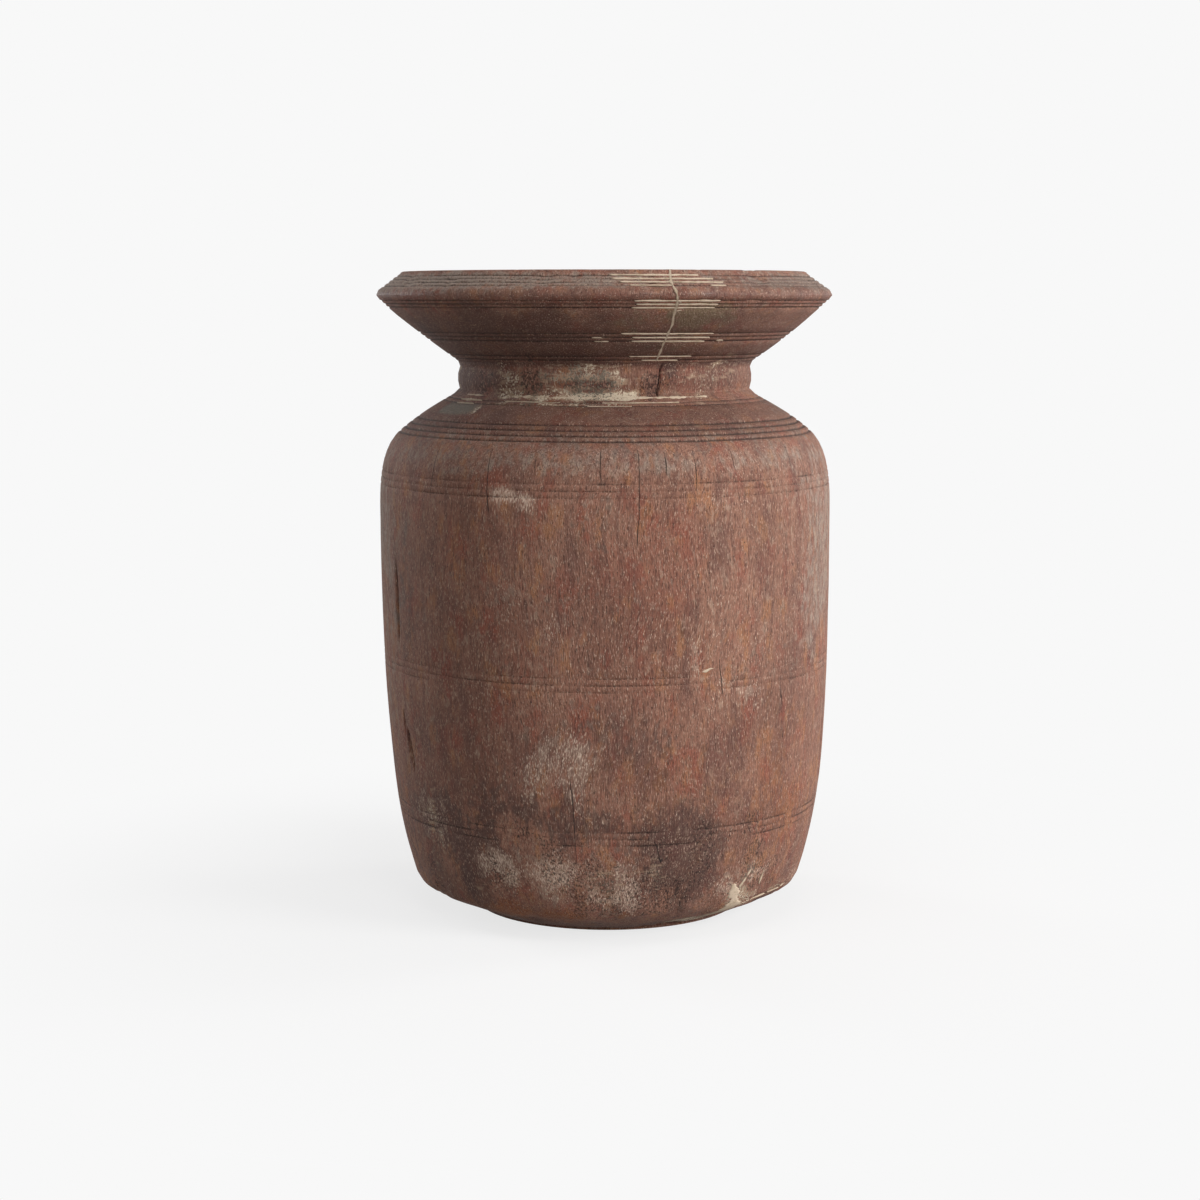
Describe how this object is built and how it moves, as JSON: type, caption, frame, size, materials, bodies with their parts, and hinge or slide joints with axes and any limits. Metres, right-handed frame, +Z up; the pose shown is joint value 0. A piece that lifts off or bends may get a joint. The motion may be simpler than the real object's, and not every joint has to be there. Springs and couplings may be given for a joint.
{
  "type": "turned wooden storage jar",
  "caption": "Open storage jar turned from one hardwood log, with a barrel body, a short neck and a wide flared rim, mended with putty.",
  "frame": {"origin": "centre of the foot, on the surface that the jar stands on", "axes": "+Z up along the turning axis; -Y is the side seen in the picture, with the mended split to its right"},
  "size_m": [0.2857, 0.2857, 0.4011],
  "materials": {
    "turned_wood": "worn, unvarnished, red-brown",
    "putty": "matt cream filler"
  },
  "bodies": {
    "root": {"jar_body": "turned_wood", "rim_crack_putty": "putty", "bevel_groove_putty": "putty", "edge_groove_putty": "putty", "flare_groove_putty": "putty", "flare_foot_putty": "putty", "neck_foot_putty": "putty", "base_chip_putty": "putty", "base_nick_putty": "putty"}
  },
  "joints": []
}
